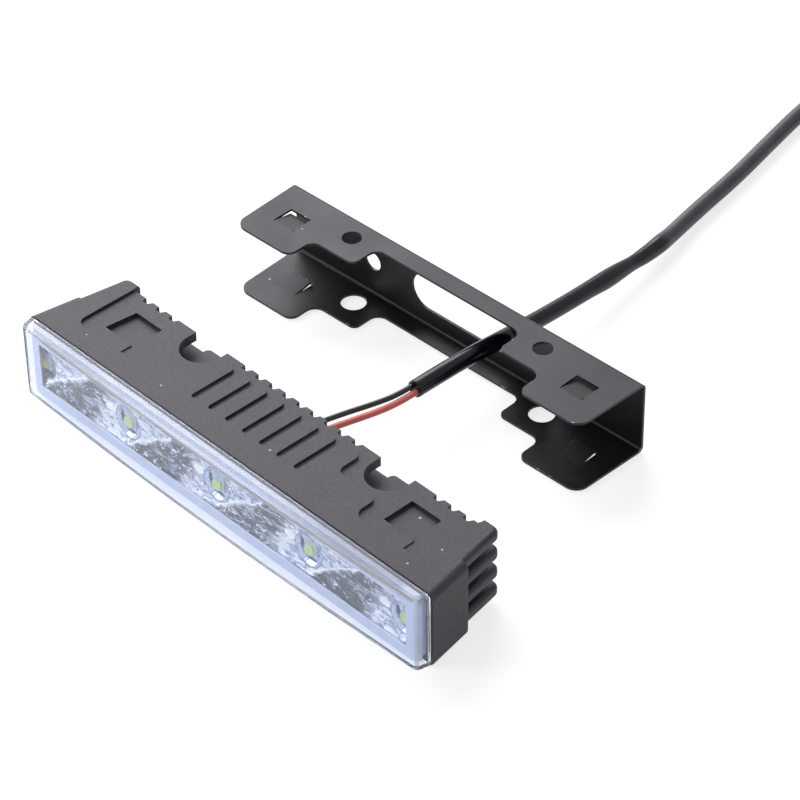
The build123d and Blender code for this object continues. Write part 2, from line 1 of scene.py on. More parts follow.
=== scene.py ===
import bmesh
import bpy
import math
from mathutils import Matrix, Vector


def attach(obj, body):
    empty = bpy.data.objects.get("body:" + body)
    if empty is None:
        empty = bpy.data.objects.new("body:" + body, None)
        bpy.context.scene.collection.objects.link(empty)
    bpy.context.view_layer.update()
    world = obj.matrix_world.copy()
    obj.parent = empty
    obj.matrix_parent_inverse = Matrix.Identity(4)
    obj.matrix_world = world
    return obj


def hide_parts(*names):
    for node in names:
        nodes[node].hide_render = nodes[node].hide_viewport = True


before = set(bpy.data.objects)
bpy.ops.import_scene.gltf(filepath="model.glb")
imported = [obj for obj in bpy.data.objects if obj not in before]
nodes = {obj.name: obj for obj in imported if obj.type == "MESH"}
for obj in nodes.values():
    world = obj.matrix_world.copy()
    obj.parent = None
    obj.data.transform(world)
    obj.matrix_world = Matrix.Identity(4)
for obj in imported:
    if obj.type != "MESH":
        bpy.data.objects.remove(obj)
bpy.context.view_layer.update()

# The lamp is laid out in millimetres, with Y = 0 where housing and lens meet.
# The shared origin lies this far behind.
JOINT_Y = 46.965

LAMP_HEIGHT = 25.0
MID_Z = LAMP_HEIGHT / 2
EMITTER_PITCH = 36.1
EMITTER_MIDDLE_X = -1.0
REFLECTOR_Y = -2.05
EMITTER_Y = 0.6
LENS_FOOT_Y = -0.42


def at(x, y, z):
    """A point of the lamp's own layout in millimetres, as metres in the shared frame."""
    return Vector((x, y - JOINT_Y, z)) / 1000


def shown(name, data):
    """An object at the origin that holds a mesh or curve."""
    piece = bpy.data.objects.new(name, data)
    bpy.context.scene.collection.objects.link(piece)
    return piece


# Camera at the photograph's place

def place_camera():
    azimuth, elevation, roll = (math.radians(angle) for angle in (46.868, 39.672, -0.832))
    back = Vector((math.sin(azimuth) * math.cos(elevation), -math.cos(azimuth) * math.cos(elevation),
                   math.sin(elevation)))
    level = Vector((math.cos(azimuth), math.sin(azimuth), 0))
    rise = back.cross(level)
    right = math.cos(roll) * level + math.sin(roll) * rise
    up = math.cos(roll) * rise - math.sin(roll) * level
    camera = shown("camera", bpy.data.cameras.new("camera"))
    camera.data.lens = 155.64
    camera.data.sensor_width = 36
    camera.data.clip_start = 0.05
    camera.data.clip_end = 20
    camera.matrix_world.translation = at(537.499, -439.052, 614.777)
    for column, axis in enumerate((right, up, back)):
        for row in range(3):
            camera.matrix_world[row][column] = axis[row]
    bpy.context.scene.camera = camera


# Routes of the wires and the lead

BLACK_ROUTE = [(2.5, 25.5, 16.8), (2.5, 30.0, 16.8), (4.6, 39.0, 16.6), (7.4, 48.5, 16.4), (8.7, 55.5, 16.1),
               (8.7, 61.1, 16.1)]
RED_ROUTE = [(4.6, 25.5, 15.4), (4.6, 29.5, 15.4), (6.6, 37.0, 15.4), (9.0, 46.0, 15.2), (10.2, 54.0, 14.8),
             (10.2, 61.1, 14.8)]
LEAD_ROUTE = [(9.5, 61.1, 15.3), (9.5, 74.0, 15.3), (9.0, 87.0, 14.2), (8.1, 103.0, 11.8),
              (6.9, 122.0, 9.5), (4.6, 143.9, 6.8), (2.4, 164.9, 3.9), (-3.2, 189.4, 2.7),
              (-6.4, 209.5, 2.7), (-11.4, 232.0, 2.7), (-14.8, 248.0, 2.7), (-16.7, 262.0, 2.7),
              (-17.1, 275.0, 2.7), (-17.1, 288.0, 2.7)]
TAIL_ROUTE = [(34.5, 339.6, 7.8), (43.5, 339.6, 7.8), (56.5, 338.4, 5.8), (70.5, 335.0, 4.2),
              (83.5, 330.0, 4.2)]
SLEEVE_END = 108.0

COIL_CENTRE = (14.5, 308.0)
COIL_TURNS = 3.25
COIL_OUTER_RADIUS = 31.9
COIL_LOW_Z = 2.7
STRANDS_APART = 5.25
LAYERS_APART = 5.2

TIE_RADIUS = 0.35
TIE_HALF_WIDTH = 5.5
TIE_HALF_HEIGHT = 5.2
TIE_MIDDLE = (28.92, 5.56)
TIE_SQUARENESS = 0.6
TIE_POINTS = 40


def eased(value, start, end):
    """0 before start, 1 after end, and smooth between."""
    share = min(max((value - start) / (end - start), 0), 1)
    return share * share * (3 - 2 * share)


def coil_points():
    """Put-away turns of the lead: outside and low, then inside and low, inside and high, outside and high."""
    points = []
    for turned in range(0, int(COIL_TURNS * 360) + 1, 18):
        inward = eased(turned, 255, 330) - eased(turned, 980, 1050)
        raised = eased(turned, 610, 690)
        radius = COIL_OUTER_RADIUS - STRANDS_APART * inward
        angle = math.radians(180 - turned)
        points.append((COIL_CENTRE[0] + radius * math.cos(angle), COIL_CENTRE[1] + radius * math.sin(angle),
                       COIL_LOW_Z + LAYERS_APART * raised))
    return points


def route_line(name, points):
    """One smooth line with the route's points as its control points."""
    curve = bpy.data.curves.new(name, "CURVE")
    curve.dimensions = "3D"
    curve.resolution_u = 16
    spline = curve.splines.new("NURBS")
    spline.points.add(len(points) - 1)
    for spot, point in zip(spline.points, points):
        spot.co = (*at(*point), 1)
    spline.order_u = 3
    spline.use_endpoint_u = True
    return shown(name, curve)


def even_path(line, fine, coarse, change):
    """Points read from a route's line, fine spaced up to a length along it and coarse after."""
    mesh = bpy.data.meshes.new_from_object(line)
    read = [vertex.co.copy() for vertex in mesh.vertices]
    bpy.data.meshes.remove(mesh)
    bpy.data.objects.remove(line)
    path, wanted, passed = [read[0]], fine, 0.0
    for a, b in zip(read, read[1:]):
        step = (b - a).length
        while step > 1e-9 and passed + step >= wanted:
            path.append(a.lerp(b, (wanted - passed) / step))
            wanted += fine if wanted < change else coarse
        passed += step
    if (path[-1] - read[-1]).length > coarse / 3:
        path.append(read[-1])
    else:
        path[-1] = read[-1]
    return path


def skin_along(name, path, sides, radius_at):
    """A capped tube round a path. radius_at gives the radius for a length along it and an angle round it."""
    mesh = bpy.data.meshes.new(name)
    build = bmesh.new()
    rings, passed = [], 0.0
    across = Vector((1, 0, 0))
    for i, point in enumerate(path):
        ahead = (path[min(i + 1, len(path) - 1)] - path[max(i - 1, 0)]).normalized()
        passed += (point - path[i - 1]).length if i else 0
        across = (across - ahead * across.dot(ahead)).normalized()
        upward = across.cross(ahead)
        ring = []
        for k in range(sides):
            angle = 2 * math.pi * k / sides
            reach = radius_at(passed * 1000, angle) / 1000
            outward = math.cos(angle) * across + math.sin(angle) * upward
            ring.append(build.verts.new(point + reach * outward))
        rings.append(ring)
    for one, two in zip(rings, rings[1:]):
        for k in range(sides):
            build.faces.new((one[k], one[(k + 1) % sides], two[(k + 1) % sides], two[k]))
    build.faces.new(rings[0][::-1])
    build.faces.new(rings[-1])
    bmesh.ops.recalc_face_normals(build, faces=build.faces)
    build.to_mesh(mesh)
    build.free()
    for face in mesh.polygons:
        face.use_smooth = len(face.vertices) == 4
    return shown(name, mesh)


def lead_radius(along, angle):
    """Sleeve with a square mouth, a swell, a dent and a lump where it ends, then the plain cable."""
    mouth = 0.06 * (1 - eased(along, 0.0, 0.7))
    past_end = along - SLEEVE_END
    swell = 0.24 * math.exp(-((past_end + 27) / 6.0) ** 2) * (1 + 0.4 * math.cos(angle + 0.8))
    dent = 0.30 * math.exp(-((past_end + 14) / 5.0) ** 2)
    lump = math.exp(-(past_end / 4.0) ** 2) * (0.16 + 0.2 * math.cos(angle - 1.2))
    neck = 0.04 * eased(past_end, 0, 6)
    return 2.54 - mouth + swell - dent + lump - neck


def tie_round_coil():
    """A thin closed tie, snug round the four put-away strands on the side away from the lamp."""
    path = []
    for step in range(TIE_POINTS):
        angle = 2 * math.pi * step / TIE_POINTS
        across, up = (math.copysign(abs(part) ** TIE_SQUARENESS, part)
                      for part in (math.cos(angle), math.sin(angle)))
        path.append(at(COIL_CENTRE[0], COIL_CENTRE[1] + TIE_MIDDLE[0] + TIE_HALF_WIDTH * across,
                       TIE_MIDDLE[1] + TIE_HALF_HEIGHT * up))
    tie = skin_along("coil_tie", path + path[:1], 12, lambda along, angle: TIE_RADIUS)
    tie.data.materials.append(FINISHES["rubber"])
    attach(tie, "root")


# Node trees: helpers

def add(tree, kind, inputs=None, **settings):
    """One node with its settings, its inputs filled by values or by other nodes' sockets."""
    node = tree.nodes.new(kind)
    for key, value in settings.items():
        setattr(node, key, value)
    for key, value in (inputs or {}).items():
        if isinstance(value, bpy.types.NodeSocket):
            tree.links.new(value, node.inputs[key])
        else:
            node.inputs[key].default_value = value
    return node


def sum_of(tree, kind, *values):
    """A Math node's result, such as ADD, MULTIPLY or LESS_THAN."""
    return add(tree, "ShaderNodeMath", dict(enumerate(values)), operation=kind).outputs[0]


def between(tree, factor, first, second):
    """Colour that goes from the first to the second as the factor goes from 0 to 1."""
    return add(tree, "ShaderNodeMix", {0: factor, 6: first, 7: second}, data_type="RGBA").outputs[2]


def spread(tree, value, low, high, out_low=0.0, out_high=1.0):
    """A value's range, stretched and clamped."""
    ranges = {"Value": value, "From Min": low, "From Max": high, "To Min": out_low, "To Max": out_high}
    return add(tree, "ShaderNodeMapRange", ranges).outputs["Result"]


def effect(name, inputs, outputs):
    """An empty shader group with named sockets, and its input and output nodes."""
    tree = bpy.data.node_groups.new(name, "ShaderNodeTree")
    for label, kind, value in inputs:
        socket = tree.interface.new_socket(name=label, in_out="INPUT", socket_type=kind)
        if value is not None:
            socket.default_value = value
    for label, kind in outputs:
        tree.interface.new_socket(name=label, in_out="OUTPUT", socket_type=kind)
    return tree, tree.nodes.new("NodeGroupInput").outputs, tree.nodes.new("NodeGroupOutput").inputs


def colour(red, green, blue):
    """A colour given as it looks on screen, 0 to 255, in the renderer's linear values."""
    def linear(part):
        part /= 255
        return part / 12.92 if part <= 0.04045 else ((part + 0.055) / 1.055) ** 2.4
    return (linear(red), linear(green), linear(blue), 1.0)


# Effects that several finishes share

FLOAT, VECTOR, COLOUR = "NodeSocketFloat", "NodeSocketVector", "NodeSocketColor"


def make_fine_grain():
    """Small bumps of a coat or moulding, with slow drifts of tone."""
    tree, given, result = effect("fine grain", [("Position", VECTOR, None), ("Scale", FLOAT, 3000.0),
                                                ("Drift Scale", FLOAT, 60.0)],
                                 [("Height", FLOAT), ("Tone", FLOAT)])
    grain = add(tree, "ShaderNodeTexNoise", {"Vector": given["Position"], "Scale": given["Scale"],
                                             "Detail": 3.0, "Roughness": 0.6})
    drift = add(tree, "ShaderNodeTexNoise", {"Vector": given["Position"], "Scale": given["Drift Scale"],
                                             "Detail": 4.0})
    tree.links.new(grain.outputs["Fac"], result["Height"])
    tree.links.new(spread(tree, drift.outputs["Fac"], 0.3, 0.7), result["Tone"])
    return tree


def make_specks():
    """Scattered round specks of dust or bare metal."""
    tree, given, result = effect("specks", [("Position", VECTOR, None), ("Scale", FLOAT, 400.0),
                                            ("Size", FLOAT, 0.2), ("Share", FLOAT, 0.1)], [("Mask", FLOAT)])
    cells = add(tree, "ShaderNodeTexVoronoi", {"Vector": given["Position"], "Scale": given["Scale"]})
    near = sum_of(tree, "LESS_THAN", cells.outputs["Distance"], given["Size"])
    pick = add(tree, "ShaderNodeSeparateColor", {"Color": cells.outputs["Color"]})
    chosen = sum_of(tree, "LESS_THAN", pick.outputs[0], given["Share"])
    tree.links.new(sum_of(tree, "MULTIPLY", near, chosen), result["Mask"])
    return tree


def make_wear():
    """Ragged patches where a coat has gone."""
    tree, given, result = effect("wear", [("Position", VECTOR, None), ("Scale", FLOAT, 500.0),
                                          ("Bare", FLOAT, 0.5)], [("Mask", FLOAT)])
    ragged = add(tree, "ShaderNodeTexNoise", {"Vector": given["Position"], "Scale": given["Scale"],
                                              "Detail": 5.0, "Roughness": 0.65})
    low = sum_of(tree, "SUBTRACT", 0.78, sum_of(tree, "MULTIPLY", given["Bare"], 0.56))
    high = sum_of(tree, "ADD", low, 0.05)
    tree.links.new(spread(tree, ragged.outputs["Fac"], low, high), result["Mask"])
    return tree


FINE_GRAIN = make_fine_grain()
SPECKS = make_specks()
WEAR = make_wear()


def finish(name, **sockets):
    """A new material with one Principled shader. The sockets that are the same all over are set on it."""
    material = bpy.data.materials.new(name)
    material.use_nodes = True
    tree = material.node_tree
    shader = tree.nodes["Principled BSDF"]
    for key, value in sockets.items():
        shader.inputs[key.replace("_", " ").title().replace("Ior", "IOR")].default_value = value
    position = add(tree, "ShaderNodeTexCoord").outputs["Object"]
    return material, tree, shader, position


def shared(tree, group, **inputs):
    """A shared effect, placed in a material with its own values."""
    node = add(tree, "ShaderNodeGroup", node_tree=group)
    for key, value in inputs.items():
        socket = node.inputs[key.replace("_", " ").title()]
        if isinstance(value, bpy.types.NodeSocket):
            tree.links.new(value, socket)
        else:
            socket.default_value = value
    return node.outputs


def raise_surface(tree, shader, height, strength, distance):
    bump = add(tree, "ShaderNodeBump", {"Height": height, "Strength": strength, "Distance": distance})
    tree.links.new(bump.outputs["Normal"], shader.inputs["Normal"])


# Finishes

def powder_coat(name, dark, light, roughness, speck_share, gloss):
    """Fine matte powder coat with small bright specks."""
    material, tree, shader, position = finish(name, specular_ior_level=gloss,
                                              specular_tint=(0.93, 0.91, 1.0, 1.0))
    grain = shared(tree, FINE_GRAIN, position=position, scale=2300.0, drift_scale=45.0)
    specks = shared(tree, SPECKS, position=position, scale=420.0, size=0.16, share=speck_share)
    mottle = sum_of(tree, "ADD", sum_of(tree, "MULTIPLY", grain["Height"], 0.7),
                    sum_of(tree, "MULTIPLY", grain["Tone"], 0.3))
    tone = between(tree, spread(tree, mottle, 0.25, 0.75), dark, light)
    tree.links.new(between(tree, specks["Mask"], tone, colour(205, 205, 210)), shader.inputs["Base Color"])
    tree.links.new(spread(tree, grain["Tone"], 0, 1, roughness - 0.06, roughness + 0.06),
                   shader.inputs["Roughness"])
    raise_surface(tree, shader, grain["Height"], 0.35, 0.0002)
    return material


def worn_edge(name, paint, metal, bare):
    """Edge where the coat is rubbed through to the metal in places."""
    material, tree, shader, position = finish(name)
    grain = shared(tree, FINE_GRAIN, position=position, scale=1800.0, drift_scale=120.0)
    wear = shared(tree, WEAR, position=position, scale=420.0, bare=bare)["Mask"]
    tree.links.new(between(tree, wear, paint, metal), shader.inputs["Base Color"])
    tree.links.new(wear, shader.inputs["Metallic"])
    tree.links.new(spread(tree, grain["Tone"], 0, 1, 0.3, 0.5), shader.inputs["Roughness"])
    raise_surface(tree, shader, grain["Height"], 0.2, 0.0001)
    return material


def plastic(name, base, drifted, roughness, grain_scale=2000.0, strength=0.15):
    """Moulded plastic, rubber, board or paint in one tone with slow drifts and a fine grain."""
    material, tree, shader, position = finish(name)
    grain = shared(tree, FINE_GRAIN, position=position, scale=grain_scale, drift_scale=90.0)
    tree.links.new(between(tree, grain["Tone"], base, drifted), shader.inputs["Base Color"])
    tree.links.new(spread(tree, grain["Height"], 0.2, 0.8, roughness - 0.05, roughness + 0.05),
                   shader.inputs["Roughness"])
    raise_surface(tree, shader, grain["Height"], strength, 0.0001)
    return material


def bare_metal(name, base, drifted, roughness):
    """Plated or plain metal with faint smears."""
    material, tree, shader, position = finish(name, metallic=1.0)
    grain = shared(tree, FINE_GRAIN, position=position, scale=1500.0, drift_scale=200.0)
    tree.links.new(between(tree, grain["Tone"], base, drifted), shader.inputs["Base Color"])
    tree.links.new(spread(tree, grain["Tone"], 0, 1, roughness - 0.08, roughness + 0.08),
                   shader.inputs["Roughness"])
    raise_surface(tree, shader, grain["Height"], 0.1, 0.00005)
    return material


def clear_plastic(name, tint, roughness, ior, clarity, gloss):
    """Clear moulding that lets light through to what is behind it. What isn't clarity is a milky haze."""
    material, tree, shader, position = finish(name, transmission_weight=clarity, ior=ior,
                                              specular_ior_level=gloss)
    grain = shared(tree, FINE_GRAIN, position=position, scale=700.0, drift_scale=70.0)
    tree.links.new(between(tree, grain["Tone"], tint, tuple(min(part * 1.03, 1) for part in tint)),
                   shader.inputs["Base Color"])
    tree.links.new(spread(tree, grain["Tone"], 0, 1, roughness, roughness + 0.03), shader.inputs["Roughness"])
    raise_surface(tree, shader, grain["Tone"], 0.05, 0.0001)
    see_through = add(tree, "ShaderNodeBsdfTransparent", {"Color": tint})
    light_path = add(tree, "ShaderNodeLightPath")
    both = add(tree, "ShaderNodeMixShader", {0: light_path.outputs["Is Shadow Ray"], 1: shader.outputs[0],
                                             2: see_through.outputs[0]})
    tree.links.new(both.outputs[0], tree.nodes["Material Output"].inputs["Surface"])
    return material


def squared(tree, value):
    return sum_of(tree, "MULTIPLY", value, value)


def painted_emitter_surround(tree, tone, beside, height, ripple):
    """A reflector's tone with a painted white glint beside each emitter, painted reflections, light and dark,
    on the rim and floor of its hole, and painted shade on the floor's lower left.
    """
    white = colour(255, 255, 255)
    glint_x = sum_of(tree, "MULTIPLY", sum_of(tree, "ADD", beside, 7.2), 0.75)
    glint_z = sum_of(tree, "SUBTRACT", height, 1.3)
    glint = sum_of(tree, "ADD", squared(tree, glint_x), squared(tree, glint_z))
    glint = spread(tree, sum_of(tree, "MULTIPLY_ADD", ripple, 3.0, glint), 3.9, 3.1)
    tone = between(tree, glint, tone, white)
    reach = sum_of(tree, "SQRT", sum_of(tree, "ADD", squared(tree, beside), squared(tree, height)))
    painted_shade_lower_left = spread(tree, sum_of(tree, "ADD", height, beside), -1.4, -2.8)
    floor = between(tree, painted_shade_lower_left, colour(206, 218, 238), colour(62, 92, 98))
    rim = between(tree, spread(tree, reach, 4.9, 5.1), colour(190, 208, 238), colour(96, 116, 152))
    inside = between(tree, spread(tree, reach, 4.3, 4.5), floor, rim)
    return between(tree, spread(tree, reach, 5.3, 5.2), tone, inside)


def reflector_chrome():
    """Crumpled chrome with painted reflections in its colour. Each cell has pale painted reflection streaks,
    a painted highlight along a crease that climbs from one emitter, and a dark patch of painted reflection
    and shade."""
    material, tree, shader, position = finish("reflector_chrome", metallic=1.0)
    part = add(tree, "ShaderNodeSeparateXYZ", {"Vector": position})
    along = sum_of(tree, "MULTIPLY_ADD", part.outputs["X"], 1000.0, -EMITTER_MIDDLE_X)
    height = sum_of(tree, "MULTIPLY_ADD", part.outputs["Z"], 1000.0, -MID_Z)
    cell = sum_of(tree, "WRAP", along, EMITTER_PITCH, 0.0)

    # Where the dark painted patch and the painted crease highlight of each cell lie
    climbed = sum_of(tree, "ADD", height, 7.0)
    wander = add(tree, "ShaderNodeTexNoise", {"Vector": position, "Scale": 300.0, "Detail": 3.0})
    wander = sum_of(tree, "MULTIPLY_ADD", wander.outputs["Fac"], 5.0, -2.5)
    past_crease = sum_of(tree, "SUBTRACT", cell, sum_of(tree, "MULTIPLY", climbed, 1.45))
    past_crease = sum_of(tree, "ADD", past_crease, wander)
    to_edge = sum_of(tree, "SUBTRACT", sum_of(tree, "MULTIPLY_ADD", climbed, 0.51, 24.6), cell)
    to_edge = sum_of(tree, "ADD", to_edge, wander)
    dark = sum_of(tree, "MULTIPLY", spread(tree, past_crease, 0.2, 2.2), spread(tree, to_edge, 0.0, 5.0))
    crease = sum_of(tree, "MULTIPLY", spread(tree, past_crease, -1.2, -0.3),
                    spread(tree, past_crease, 0.6, 0.1))

    # Folds that all run one way, and finer ripples between them; the folds also carry painted highlights and
    # shade
    turned = add(tree, "ShaderNodeMapping", {"Vector": position, "Rotation": (0, math.radians(38), 0),
                                             "Scale": (1.0, 1.0, 2.2)}).outputs[0]
    field = add(tree, "ShaderNodeTexNoise", {"Vector": turned, "Scale": 100.0, "Detail": 2.0,
                                             "Distortion": 0.7}).outputs["Fac"]
    ripple = add(tree, "ShaderNodeTexNoise", {"Vector": turned, "Scale": 260.0, "Detail": 4.0,
                                              "Roughness": 0.6, "Distortion": 0.8}).outputs["Fac"]
    ridge = sum_of(tree, "FRACT", sum_of(tree, "MULTIPLY", field, 10.0))
    ridge = sum_of(tree, "ABSOLUTE", sum_of(tree, "SUBTRACT", ridge, 0.5))
    painted_fold_highlight = sum_of(tree, "MULTIPLY", spread(tree, ridge, 0.16, 0.05), spread(tree, ripple, 0.44, 0.54))
    painted_fold_shade = sum_of(tree, "MULTIPLY", spread(tree, ridge, 0.36, 0.46), spread(tree, ripple, 0.60, 0.46))

    # Painted tones: dark painted reflection and shade in each cell's dark patch, pale painted reflection
    # elsewhere, white painted highlights
    white = colour(255, 255, 255)
    tint = shared(tree, FINE_GRAIN, position=position, scale=900.0, drift_scale=260.0)["Tone"]
    painted_hollow_shading = between(tree, tint, colour(86, 82, 92), colour(58, 76, 96))
    painted_hollow_shading = between(tree, spread(tree, ripple, 0.5, 0.62), painted_hollow_shading, colour(140, 150, 176))
    painted_hollow_shading = between(tree, painted_fold_shade, painted_hollow_shading, colour(20, 25, 40))
    painted_hollow_shading = between(tree, painted_fold_highlight, painted_hollow_shading, colour(232, 238, 250))
    pale = between(tree, spread(tree, ripple, 0.56, 0.42), colour(236, 240, 250), colour(172, 184, 214))
    pale = between(tree, painted_fold_shade, pale, colour(104, 116, 146))
    pale = between(tree, painted_fold_highlight, pale, white)
    tone = between(tree, crease, between(tree, dark, pale, painted_hollow_shading), white)
    # White specks are painted glints.
    painted_glint_specks = shared(tree, SPECKS, position=position, scale=900.0, size=0.3, share=0.06)["Mask"]
    tone = between(tree, painted_glint_specks, tone, white)

    # Painted glint, painted reflections and painted shade round each emitter's hole.
    beside = sum_of(tree, "WRAP", along, EMITTER_PITCH / 2, -EMITTER_PITCH / 2)
    tone = painted_emitter_surround(tree, tone, beside, height, ripple)
    tree.links.new(tone, shader.inputs["Base Color"])
    tree.links.new(spread(tree, ripple, 0.3, 0.7, 0.18, 0.34), shader.inputs["Roughness"])
    raise_surface(tree, shader, ridge, 0.4, 0.0003)
    return material


def frame_plastic(name, base, drifted, roughness):
    """Pale plastic with painted shade: greyer along its top, with a painted soft blue shade there, strong on
    the right and faint on the left."""
    material, tree, shader, position = finish(name, roughness=roughness)
    part = add(tree, "ShaderNodeSeparateXYZ", {"Vector": position}).outputs
    grain = shared(tree, FINE_GRAIN, position=position, scale=900.0, drift_scale=90.0)
    # Where the painted blue shade lies along the top, strong on the right and faint on the left.
    right = sum_of(tree, "MULTIPLY", spread(tree, part["X"], 0.020, 0.050),
                   spread(tree, part["X"], 0.0725, 0.0700))
    left = sum_of(tree, "MULTIPLY", spread(tree, part["X"], -0.070, -0.060),
                  spread(tree, part["X"], -0.042, -0.054, 0.0, 0.4))
    # Along the top the colour turns greyer: painted shade.
    high = spread(tree, part["Z"], 0.0208, 0.0222)
    shade = sum_of(tree, "MULTIPLY", sum_of(tree, "ADD", right, left), high)
    tone = between(tree, high, between(tree, grain["Tone"], base, drifted), colour(132, 138, 164))
    tree.links.new(between(tree, shade, tone, colour(52, 64, 108)), shader.inputs["Base Color"])
    raise_surface(tree, shader, grain["Height"], 0.05, 0.0001)
    return material


def glue_with_painted_shade():
    """Milky glue line with a painted dark blue shade towards one end."""
    material, tree, shader, position = finish("seal_glue", roughness=0.4)
    part = add(tree, "ShaderNodeSeparateXYZ", {"Vector": position})
    grain = shared(tree, FINE_GRAIN, position=position, scale=900.0, drift_scale=70.0)
    along = sum_of(tree, "MULTIPLY_ADD", grain["Tone"], 0.012, part.outputs["X"])
    milky = between(tree, grain["Tone"], colour(150, 156, 180), colour(186, 190, 208))
    # Towards +X the glue turns to a painted dark blue shade.
    tree.links.new(between(tree, spread(tree, along, 0.022, 0.040), milky, colour(40, 48, 84)),
                   shader.inputs["Base Color"])
    return material


def lead_cover():
    """Glossy sleeve up to the lump, and the more matte cable after it."""
    material, tree, shader, position = finish("lead_cover")
    part = add(tree, "ShaderNodeSeparateXYZ", {"Vector": position})
    grain = shared(tree, FINE_GRAIN, position=position, scale=1100.0, drift_scale=160.0)
    backward = sum_of(tree, "MULTIPLY_ADD", grain["Tone"], 0.003, part.outputs["Y"])
    cable = spread(tree, backward, 0.121, 0.128)
    sleeve = between(tree, grain["Tone"], colour(12, 13, 20), colour(26, 29, 42))
    jacket = between(tree, grain["Tone"], colour(48, 48, 56), colour(66, 66, 75))
    tree.links.new(between(tree, cable, sleeve, jacket), shader.inputs["Base Color"])
    tree.links.new(spread(tree, cable, 0, 1, 0.2, 0.42), shader.inputs["Roughness"])
    tree.links.new(spread(tree, cable, 0, 1, 0.28, 0.5), shader.inputs["Specular IOR Level"])
    raise_surface(tree, shader, grain["Height"], 0.2, 0.0001)
    return material


FINISHES = {
    "housing": powder_coat("black_powder_coat", colour(26, 25, 30), colour(92, 89, 96), 0.55, 0.02, 0.4),
    "clip": powder_coat("clip_paint", colour(6, 6, 8), colour(26, 25, 29), 0.45, 0.012, 0.42),
    "housing_edge": worn_edge("powder_coat_edge", colour(50, 48, 53), colour(170, 170, 176), 0.12),
    "clip_edge": worn_edge("clip_paint_edge", colour(16, 16, 18), colour(224, 224, 230), 0.3),
    "lens": clear_plastic("clear_lens", (0.9, 0.93, 1.0, 1.0), 0.02, 1.3, 0.95, 0.08),
    # The lens's slanted edge faces are paler and milkier: a painted highlight.
    "lens_edge": clear_plastic("clear_lens_edge", (0.93, 0.95, 1.0, 1.0), 0.15, 1.3, 0.6, 0.3),
    "dome": clear_plastic("emitter_dome", (0.9, 0.95, 1.0, 1.0), 0.01, 1.4, 0.98, 1.0),
    "frame": frame_plastic("pale_frame", colour(186, 197, 226), colour(196, 206, 232), 0.35),
    # The frame's rounded edges are painted lighter: a painted highlight.
    "frame_edge": frame_plastic("pale_frame_edge", colour(224, 229, 244), colour(238, 241, 250), 0.2),
    "seal": glue_with_painted_shade(),
    "chrome": reflector_chrome(),
    "board_white": plastic("board_white", colour(222, 224, 228), colour(236, 237, 240), 0.4),
    "pad": plastic("pad_grey", colour(128, 132, 140), colour(150, 153, 160), 0.8),
    "steel": bare_metal("screw_steel", colour(168, 168, 172), colour(196, 196, 200), 0.32),
    "board_green": plastic("board_green", colour(18, 74, 46), colour(26, 92, 58), 0.35),
    "ferrite": plastic("ferrite", colour(48, 46, 46), colour(66, 63, 62), 0.7),
    "can": bare_metal("capacitor_can", colour(176, 178, 184), colour(200, 202, 206), 0.28),
    "chip": plastic("chip_epoxy", colour(30, 30, 32), colour(42, 42, 44), 0.55),
    "rubber": plastic("rubber_black", colour(34, 34, 37), colour(48, 48, 52), 0.65),
    "package": plastic("emitter_package", colour(196, 208, 222), colour(214, 222, 234), 0.3),
    "phosphor": plastic("emitter_phosphor", colour(214, 232, 120), colour(226, 240, 150), 0.45),
    "black_wire": plastic("wire_black", colour(14, 14, 16), colour(22, 21, 24), 0.2, 500.0, 0.05),
    "red_wire": plastic("wire_red", colour(255, 120, 110), colour(255, 138, 126), 0.28, 500.0, 0.05),
    "lead": lead_cover(),
    "connector": plastic("connector_black", colour(32, 32, 35), colour(46, 46, 50), 0.42),
    "seal_orange": plastic("seal_orange", colour(206, 104, 44), colour(222, 124, 60), 0.5),
    "tin": bare_metal("blade_tin", colour(196, 196, 200), colour(214, 214, 218), 0.25),
}


# Pieces made from CAD nodes

def settle_normals(mesh, angle=28, wide=0.0016):
    """Wide faces are shaded flat. Narrow ones lean towards their largest neighbours."""
    beside = [[] for _ in mesh.vertices]
    for face in mesh.polygons:
        for corner in face.vertices:
            beside[corner].append(face)
    closest = math.cos(math.radians(angle))
    normals = []
    for face in mesh.polygons:
        spots = [mesh.vertices[corner].co for corner in face.vertices]
        longest = max((a - b).length for a, b in zip(spots, spots[1:] + spots[:1]))
        for corner in face.vertices:
            lean = face.normal.copy()
            if face.area < wide * longest:
                near = [other for other in beside[corner] if face.normal.dot(other.normal) > closest]
                lean = sum((other.normal * other.area ** 2 for other in near), Vector())
            normals.append(lean.normalized() if lean.length > 0 else face.normal)
    mesh.polygons.foreach_set("use_smooth", [True] * len(mesh.polygons))
    mesh.normals_split_custom_set(normals)


def make_plain(piece):
    """Turns a piece's modifiers into plain mesh."""
    bpy.context.view_layer.update()
    solid = bpy.data.meshes.new_from_object(piece.evaluated_get(bpy.context.evaluated_depsgraph_get()))
    piece.modifiers.clear()
    piece.data = solid


